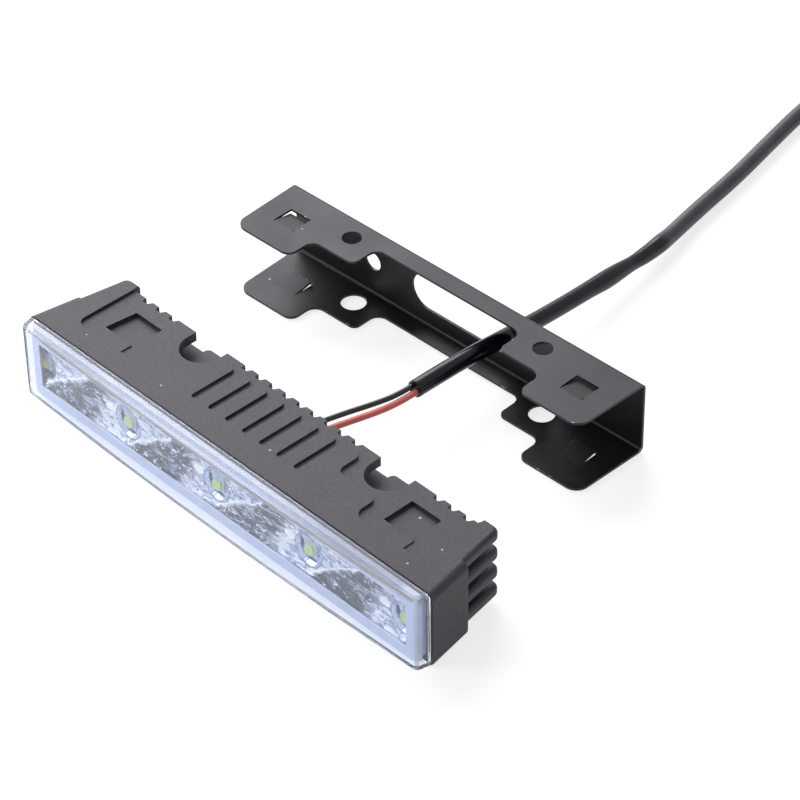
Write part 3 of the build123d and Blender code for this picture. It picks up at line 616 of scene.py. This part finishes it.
def rounded_copy(node, width, coat, edge):
    """A copy of a CAD node with merged faces and small rounded edges, which take a finish of their own."""
    mesh = nodes[node].data.copy()
    build = bmesh.new()
    build.from_mesh(mesh)
    bmesh.ops.remove_doubles(build, verts=build.verts, dist=2e-6)
    bmesh.ops.dissolve_limit(build, angle_limit=math.radians(0.6), verts=build.verts, edges=build.edges)
    build.to_mesh(mesh)
    build.free()
    mesh.materials.clear()
    mesh.materials.append(FINISHES[coat])
    mesh.materials.append(FINISHES[edge])
    mesh.polygons.foreach_set("material_index", [0] * len(mesh.polygons))
    piece = shown(node + "_finished", mesh)
    rim = piece.modifiers.new("rounded edges", "BEVEL")
    rim.width = width / 1000
    rim.segments = 2
    rim.limit_method = "ANGLE"
    rim.angle_limit = math.radians(32)
    rim.use_clamp_overlap = True
    rim.material = 1
    make_plain(piece)
    settle_normals(piece.data)
    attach(piece, "root")
    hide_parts(node)
    return piece


# Repeated pieces and ruled surfaces, made by geometry trees

def geometry_tree(name, inputs):
    """An empty geometry tree with named number inputs."""
    tree = bpy.data.node_groups.new(name, "GeometryNodeTree")
    for label, value in inputs:
        socket = tree.interface.new_socket(name=label, in_out="INPUT", socket_type="NodeSocketFloat")
        socket.default_value = value
    tree.interface.new_socket(name="Geometry", in_out="OUTPUT", socket_type="NodeSocketGeometry")
    return tree, tree.nodes.new("NodeGroupInput").outputs, tree.nodes.new("NodeGroupOutput").inputs


def grown(name, tree, **sizes):
    """The plain mesh that a geometry tree makes with the given sizes."""
    piece = shown(name, bpy.data.meshes.new(name))
    grow = piece.modifiers.new(name, "NODES")
    grow.node_group = tree
    for item in tree.interface.items_tree:
        key = item.name.lower().replace(" ", "_")
        if item.in_out == "INPUT" and key in sizes:
            grow[item.identifier] = sizes[key]
    make_plain(piece)
    return piece


def axis_step(tree, x, y, z):
    return add(tree, "ShaderNodeCombineXYZ", {"X": x, "Y": y, "Z": z}).outputs[0]


def moved(tree, geometry, x, y, z):
    step = axis_step(tree, x, y, z)
    return add(tree, "GeometryNodeTransform", {"Geometry": geometry, "Translation": step}).outputs[0]


def coated(tree, geometry, finish_name):
    finished = {"Geometry": geometry, "Material": FINISHES[finish_name]}
    return add(tree, "GeometryNodeSetMaterial", finished).outputs[0]


def joined(tree, *parts):
    together = add(tree, "GeometryNodeJoinGeometry")
    for part in parts:
        tree.links.new(part, together.inputs[0])
    return together.outputs[0]


def flipped(tree, mesh):
    return add(tree, "GeometryNodeFlipFaces", {"Mesh": mesh}).outputs[0]


def extruded(tree, mesh, direction, depth):
    """The faces of a mesh moved by a depth, with walls round them. The faces that were there are left out."""
    return add(tree, "GeometryNodeExtrudeMesh", {"Mesh": mesh, "Offset": axis_step(tree, *direction),
                                                 "Offset Scale": depth, "Individual": False}).outputs[0]


def welded(tree, *parts):
    return add(tree, "GeometryNodeMergeByDistance", {"Geometry": joined(tree, *parts),
                                                     "Distance": 1e-6}).outputs[0]


def rounded_block(tree, side_x, side_z, depth, corner):
    """A block with rounded upright corners that grows from Y = 0 to the front."""
    outline = add(tree, "GeometryNodeCurvePrimitiveQuadrilateral", {"Width": side_x, "Height": side_z})
    soft = add(tree, "GeometryNodeFilletCurve", {"Curve": outline.outputs[0], "Radius": corner, "Count": 5},
               mode="POLY")
    plate = add(tree, "GeometryNodeFillCurve", {"Curve": soft.outputs[0]}, mode="NGONS").outputs[0]
    block = welded(tree, extruded(tree, plate, (0.0, 0.0, 1.0), depth), flipped(tree, plate))
    return add(tree, "GeometryNodeTransform", {"Geometry": block,
                                               "Rotation": (math.radians(90), 0.0, 0.0)}).outputs[0]


def emitters_tree():
    """Five emitters in a row: package, phosphor and clear dome with a flat back."""
    sizes = [("Pitch", 0.0361), ("Count", 5.0), ("Side", 0.0046), ("Package Depth", 0.001),
             ("Dome Radius", 0.0024), ("Dome Sink", 0.0008)]
    tree, given, result = geometry_tree("emitter_row", sizes)
    package = rounded_block(tree, given["Side"], given["Side"], given["Package Depth"], 0.0004)
    package = coated(tree, package, "package")
    chip_side = sum_of(tree, "MULTIPLY", given["Side"], 0.5)
    chip = rounded_block(tree, chip_side, chip_side, 0.0003, 0.0002)
    front = sum_of(tree, "MULTIPLY", given["Package Depth"], -1.0)
    chip = coated(tree, moved(tree, chip, 0.0, front, 0.0), "phosphor")
    ball = add(tree, "GeometryNodeMeshUVSphere", {"Segments": 40, "Rings": 24,
                                                  "Radius": given["Dome Radius"]})
    spot = add(tree, "ShaderNodeSeparateXYZ", {"Vector": add(tree, "GeometryNodeInputPosition").outputs[0]})
    flat = sum_of(tree, "SUBTRACT", 0.00002, given["Dome Sink"])
    back = sum_of(tree, "MINIMUM", spot.outputs["Y"], flat)
    place = axis_step(tree, spot.outputs["X"], back, spot.outputs["Z"])
    cut = add(tree, "GeometryNodeSetPosition", {"Geometry": ball.outputs[0], "Position": place})
    smooth = add(tree, "GeometryNodeSetShadeSmooth", {"Geometry": cut.outputs[0]})
    centre = sum_of(tree, "ADD", front, given["Dome Sink"])
    dome = coated(tree, moved(tree, smooth.outputs[0], 0.0, centre, 0.0), "dome")
    row = add(tree, "GeometryNodeMeshLine", {"Count": given["Count"],
                                             "Offset": axis_step(tree, given["Pitch"], 0.0, 0.0)})
    copies = add(tree, "GeometryNodeInstanceOnPoints", {"Points": row.outputs[0],
                                                        "Instance": joined(tree, package, chip, dome)})
    real = add(tree, "GeometryNodeRealizeInstances", {"Geometry": copies.outputs[0]})
    first_x = sum_of(tree, "MULTIPLY", given["Pitch"], -2.0)
    tree.links.new(moved(tree, real.outputs[0], first_x, 0.0, 0.0), result[0])
    return tree


def reflector_tree():
    """One long crumpled sheet with a dish and a sunk floor at each emitter, and a thickness to the back."""
    sizes = [("Length", 0.151), ("Height", 0.0164), ("Pitch", 0.0361), ("Dish Depth", 0.0011),
             ("Dish Height", 0.0148), ("Crumple", 0.0008), ("Hole Radius", 0.0046), ("Full Depth", 0.0022),
             ("Thickness", 0.0004)]
    tree, given, result = geometry_tree("reflector_sheet", sizes)
    sheet = add(tree, "GeometryNodeMeshGrid", {"Size X": given["Length"], "Size Y": given["Height"],
                                               "Vertices X": 640, "Vertices Y": 70})
    spot = add(tree, "ShaderNodeSeparateXYZ", {"Vector": add(tree, "GeometryNodeInputPosition").outputs[0]})
    along, up = spot.outputs["X"], spot.outputs["Y"]
    half = sum_of(tree, "MULTIPLY", given["Pitch"], 0.5)
    low = sum_of(tree, "MULTIPLY", given["Pitch"], -0.5)
    cell = sum_of(tree, "WRAP", sum_of(tree, "SUBTRACT", along, EMITTER_MIDDLE_X / 1000), half, low)
    side = sum_of(tree, "POWER", sum_of(tree, "ABSOLUTE", sum_of(tree, "DIVIDE", cell, half)), 1.7)
    edge = sum_of(tree, "MULTIPLY", given["Dish Height"], 0.5)
    rise = sum_of(tree, "POWER", sum_of(tree, "ABSOLUTE", sum_of(tree, "DIVIDE", up, edge)), 4.0)
    inside = sum_of(tree, "MAXIMUM", sum_of(tree, "SUBTRACT", 1.0, rise), 0.0)
    open_share = sum_of(tree, "MULTIPLY", sum_of(tree, "SUBTRACT", 1.0, side), inside)
    bowl = sum_of(tree, "MULTIPLY", given["Dish Depth"], open_share)
    wobble = add(tree, "ShaderNodeTexNoise", {"Scale": 210.0, "Detail": 3.0, "Roughness": 0.5}).outputs["Fac"]
    crumple = sum_of(tree, "MULTIPLY", sum_of(tree, "SUBTRACT", wobble, 0.45), given["Crumple"])
    depth = sum_of(tree, "MULTIPLY_ADD", crumple, inside, bowl)
    reach = sum_of(tree, "SQRT", sum_of(tree, "ADD", squared(tree, cell), squared(tree, up)))
    in_hole = sum_of(tree, "LESS_THAN", reach, given["Hole Radius"])
    depth = sum_of(tree, "MAXIMUM", depth, sum_of(tree, "MULTIPLY", in_hole, given["Full Depth"]))
    depth = sum_of(tree, "MINIMUM", sum_of(tree, "MAXIMUM", depth, 0.0), given["Full Depth"])
    shaped = add(tree, "GeometryNodeSetPosition", {"Geometry": sheet.outputs[0],
                                                   "Position": axis_step(tree, along, depth, up)})
    backed = extruded(tree, shaped.outputs[0], (0.0, 1.0, 0.0), given["Thickness"])
    solid = welded(tree, shaped.outputs[0], flipped(tree, backed))
    smooth = add(tree, "GeometryNodeSetShadeSmooth", {"Geometry": solid})
    real = add(tree, "GeometryNodeRealizeInstances", {"Geometry": smooth.outputs[0]})
    tree.links.new(coated(tree, real.outputs[0], "chrome"), result[0])
    return tree


def set_down(piece, x, y, z):
    """Moves a finished mesh to its place in the lamp's layout and lets it ride."""
    offset = at(x, y, z)
    for vertex in piece.data.vertices:
        vertex.co += offset
    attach(piece, "root")
    return piece


# Making the scene

place_camera()

for node, route, slot, length, diameter in (("black_wire", BLACK_ROUTE, "wire_black", 0.0363, 0.0016),
                                            ("red_wire", RED_ROUTE, "wire_red", 0.0362, 0.0019)):
    wire = route_line(node + "_skin", route)
    wire.data.bevel_depth = diameter / 2
    wire.data.bevel_resolution = 6
    wire.data.use_fill_caps = True
    wire.data.materials.append(FINISHES[node])
    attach(wire, "root")
    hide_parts(node)

LEAD_FINE_STEP, LEAD_COARSE_STEP, LEAD_SEEN_LENGTH = 0.0008, 0.0025, 0.26
lead_path = even_path(route_line("lead_route", LEAD_ROUTE + coil_points() + TAIL_ROUTE), LEAD_FINE_STEP,
                      LEAD_COARSE_STEP, LEAD_SEEN_LENGTH)
lead_skin = skin_along("lead_skin", lead_path, 32, lead_radius)
lead_skin.data.materials.append(FINISHES["lead"])
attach(lead_skin, "root")
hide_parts("lead", "lead_coil", "lead_tail")

rounded_copy("housing", 0.25, "housing", "housing_edge")
rounded_copy("clip_bracket", 0.14, "clip", "clip_edge")
# The frame's rounded edges take a lighter finish, a painted highlight.
rounded_copy("inner_frame", 0.2, "frame", "frame_edge")
lens_piece = rounded_copy("lens", 0.12, "lens", "lens_edge")
# Faces that slant between the front and the sides or top take the lens's painted edge highlight.
for face in lens_piece.data.polygons:
    face.material_index = int(0.45 < abs(face.normal.y) < 0.9)
for vertex in lens_piece.data.vertices:
    vertex.co.y = min(vertex.co.y, at(0, LENS_FOOT_Y, 0).y)
connector_piece = rounded_copy("connector_housing", 0.2, "connector", "connector")

tie_round_coil()

reflector_piece = set_down(grown("reflector_sheet", reflector_tree()), 0, REFLECTOR_Y, MID_Z)
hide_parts("reflector")
emitter_piece = set_down(grown("emitter_row", emitters_tree()), EMITTER_MIDDLE_X, EMITTER_Y, MID_Z)
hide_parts("emitter_1", "emitter_2", "emitter_3", "emitter_4", "emitter_5")

PAINTED = {
    "seal": ("lens_seal",),
    "board_white": ("light_board",),
    "pad": ("thermal_pad",),
    "steel": ("board_screw_left", "board_screw_right"),
    "board_green": ("driver_board",),
    "ferrite": ("inductor",),
    "can": ("capacitor",),
    "chip": ("control_chip",),
    "rubber": ("grommet",),
    "seal_orange": ("connector_seal",),
    "tin": ("terminal_1", "terminal_2"),
}
for finish_name, names in PAINTED.items():
    for name in names:
        for holder in nodes[name].material_slots:
            holder.material = FINISHES[finish_name]


# Table and light

TABLE_HALF_SIDE = 4
TABLE_Z = -0.0002
TABLE_GLOW = 0.74
ROOM_FILL = 0.28
ROOM_MIRRORED = 0.65


def directly_seen(tree, mirrored):
    """1 for rays from the camera or through clear plastic, mirrored for those off a gloss, 0 for the rest."""
    light_path = add(tree, "ShaderNodeLightPath").outputs
    glossy = sum_of(tree, "MULTIPLY", light_path["Is Glossy Ray"], mirrored)
    return sum_of(tree, "MAXIMUM", light_path["Is Camera Ray"],
                  sum_of(tree, "MAXIMUM", glossy, light_path["Is Transmission Ray"]))


def pale_floor():
    mesh = bpy.data.meshes.new("table_top")
    build = bmesh.new()
    signs = ((-1, -1), (1, -1), (1, 1), (-1, 1))
    corners = [Vector((x * TABLE_HALF_SIDE, y * TABLE_HALF_SIDE, TABLE_Z)) for x, y in signs]
    build.faces.new([build.verts.new(corner) for corner in corners])
    build.to_mesh(mesh)
    build.free()
    floor = shown("table_top", mesh)
    material, tree, shader, _ = finish("table_white", roughness=0.9, specular_ior_level=0.0)
    shader.inputs["Base Color"].default_value = (0.5, 0.5, 0.5, 1)
    strength = sum_of(tree, "MULTIPLY", directly_seen(tree, 1.0), TABLE_GLOW)
    glow = add(tree, "ShaderNodeEmission", {"Color": (1, 1, 1, 1), "Strength": strength})
    lit = add(tree, "ShaderNodeAddShader", {0: shader.outputs[0], 1: glow.outputs[0]})
    tree.links.new(lit.outputs[0], tree.nodes["Material Output"].inputs["Surface"])
    mesh.materials.append(material)


def soft_lamp(name, place, size, power):
    light = bpy.data.lights.new(name, "AREA")
    light.shape = "DISK"
    light.size = size
    light.energy = power
    lamp = shown(name, light)
    lamp.location = place
    lamp.rotation_euler = (-Vector(place)).to_track_quat("-Z", "Y").to_euler()


def room_light():
    world = bpy.data.worlds.new("room")
    bpy.context.scene.world = world
    world.use_nodes = True
    tree = world.node_tree
    background = tree.nodes["Background"]
    background.inputs["Color"].default_value = (1, 1, 1, 1)
    tree.links.new(spread(tree, directly_seen(tree, ROOM_MIRRORED), 0, 1, ROOM_FILL, 1.0),
                   background.inputs["Strength"])


pale_floor()
room_light()
soft_lamp("overhead_softbox", (-0.86, 0.36, 0.70), size=1.2, power=15.0)
soft_lamp("front_softbox", (-0.8, -0.9, 0.55), size=0.6, power=4.0)
bpy.context.scene.view_settings.view_transform = "Standard"
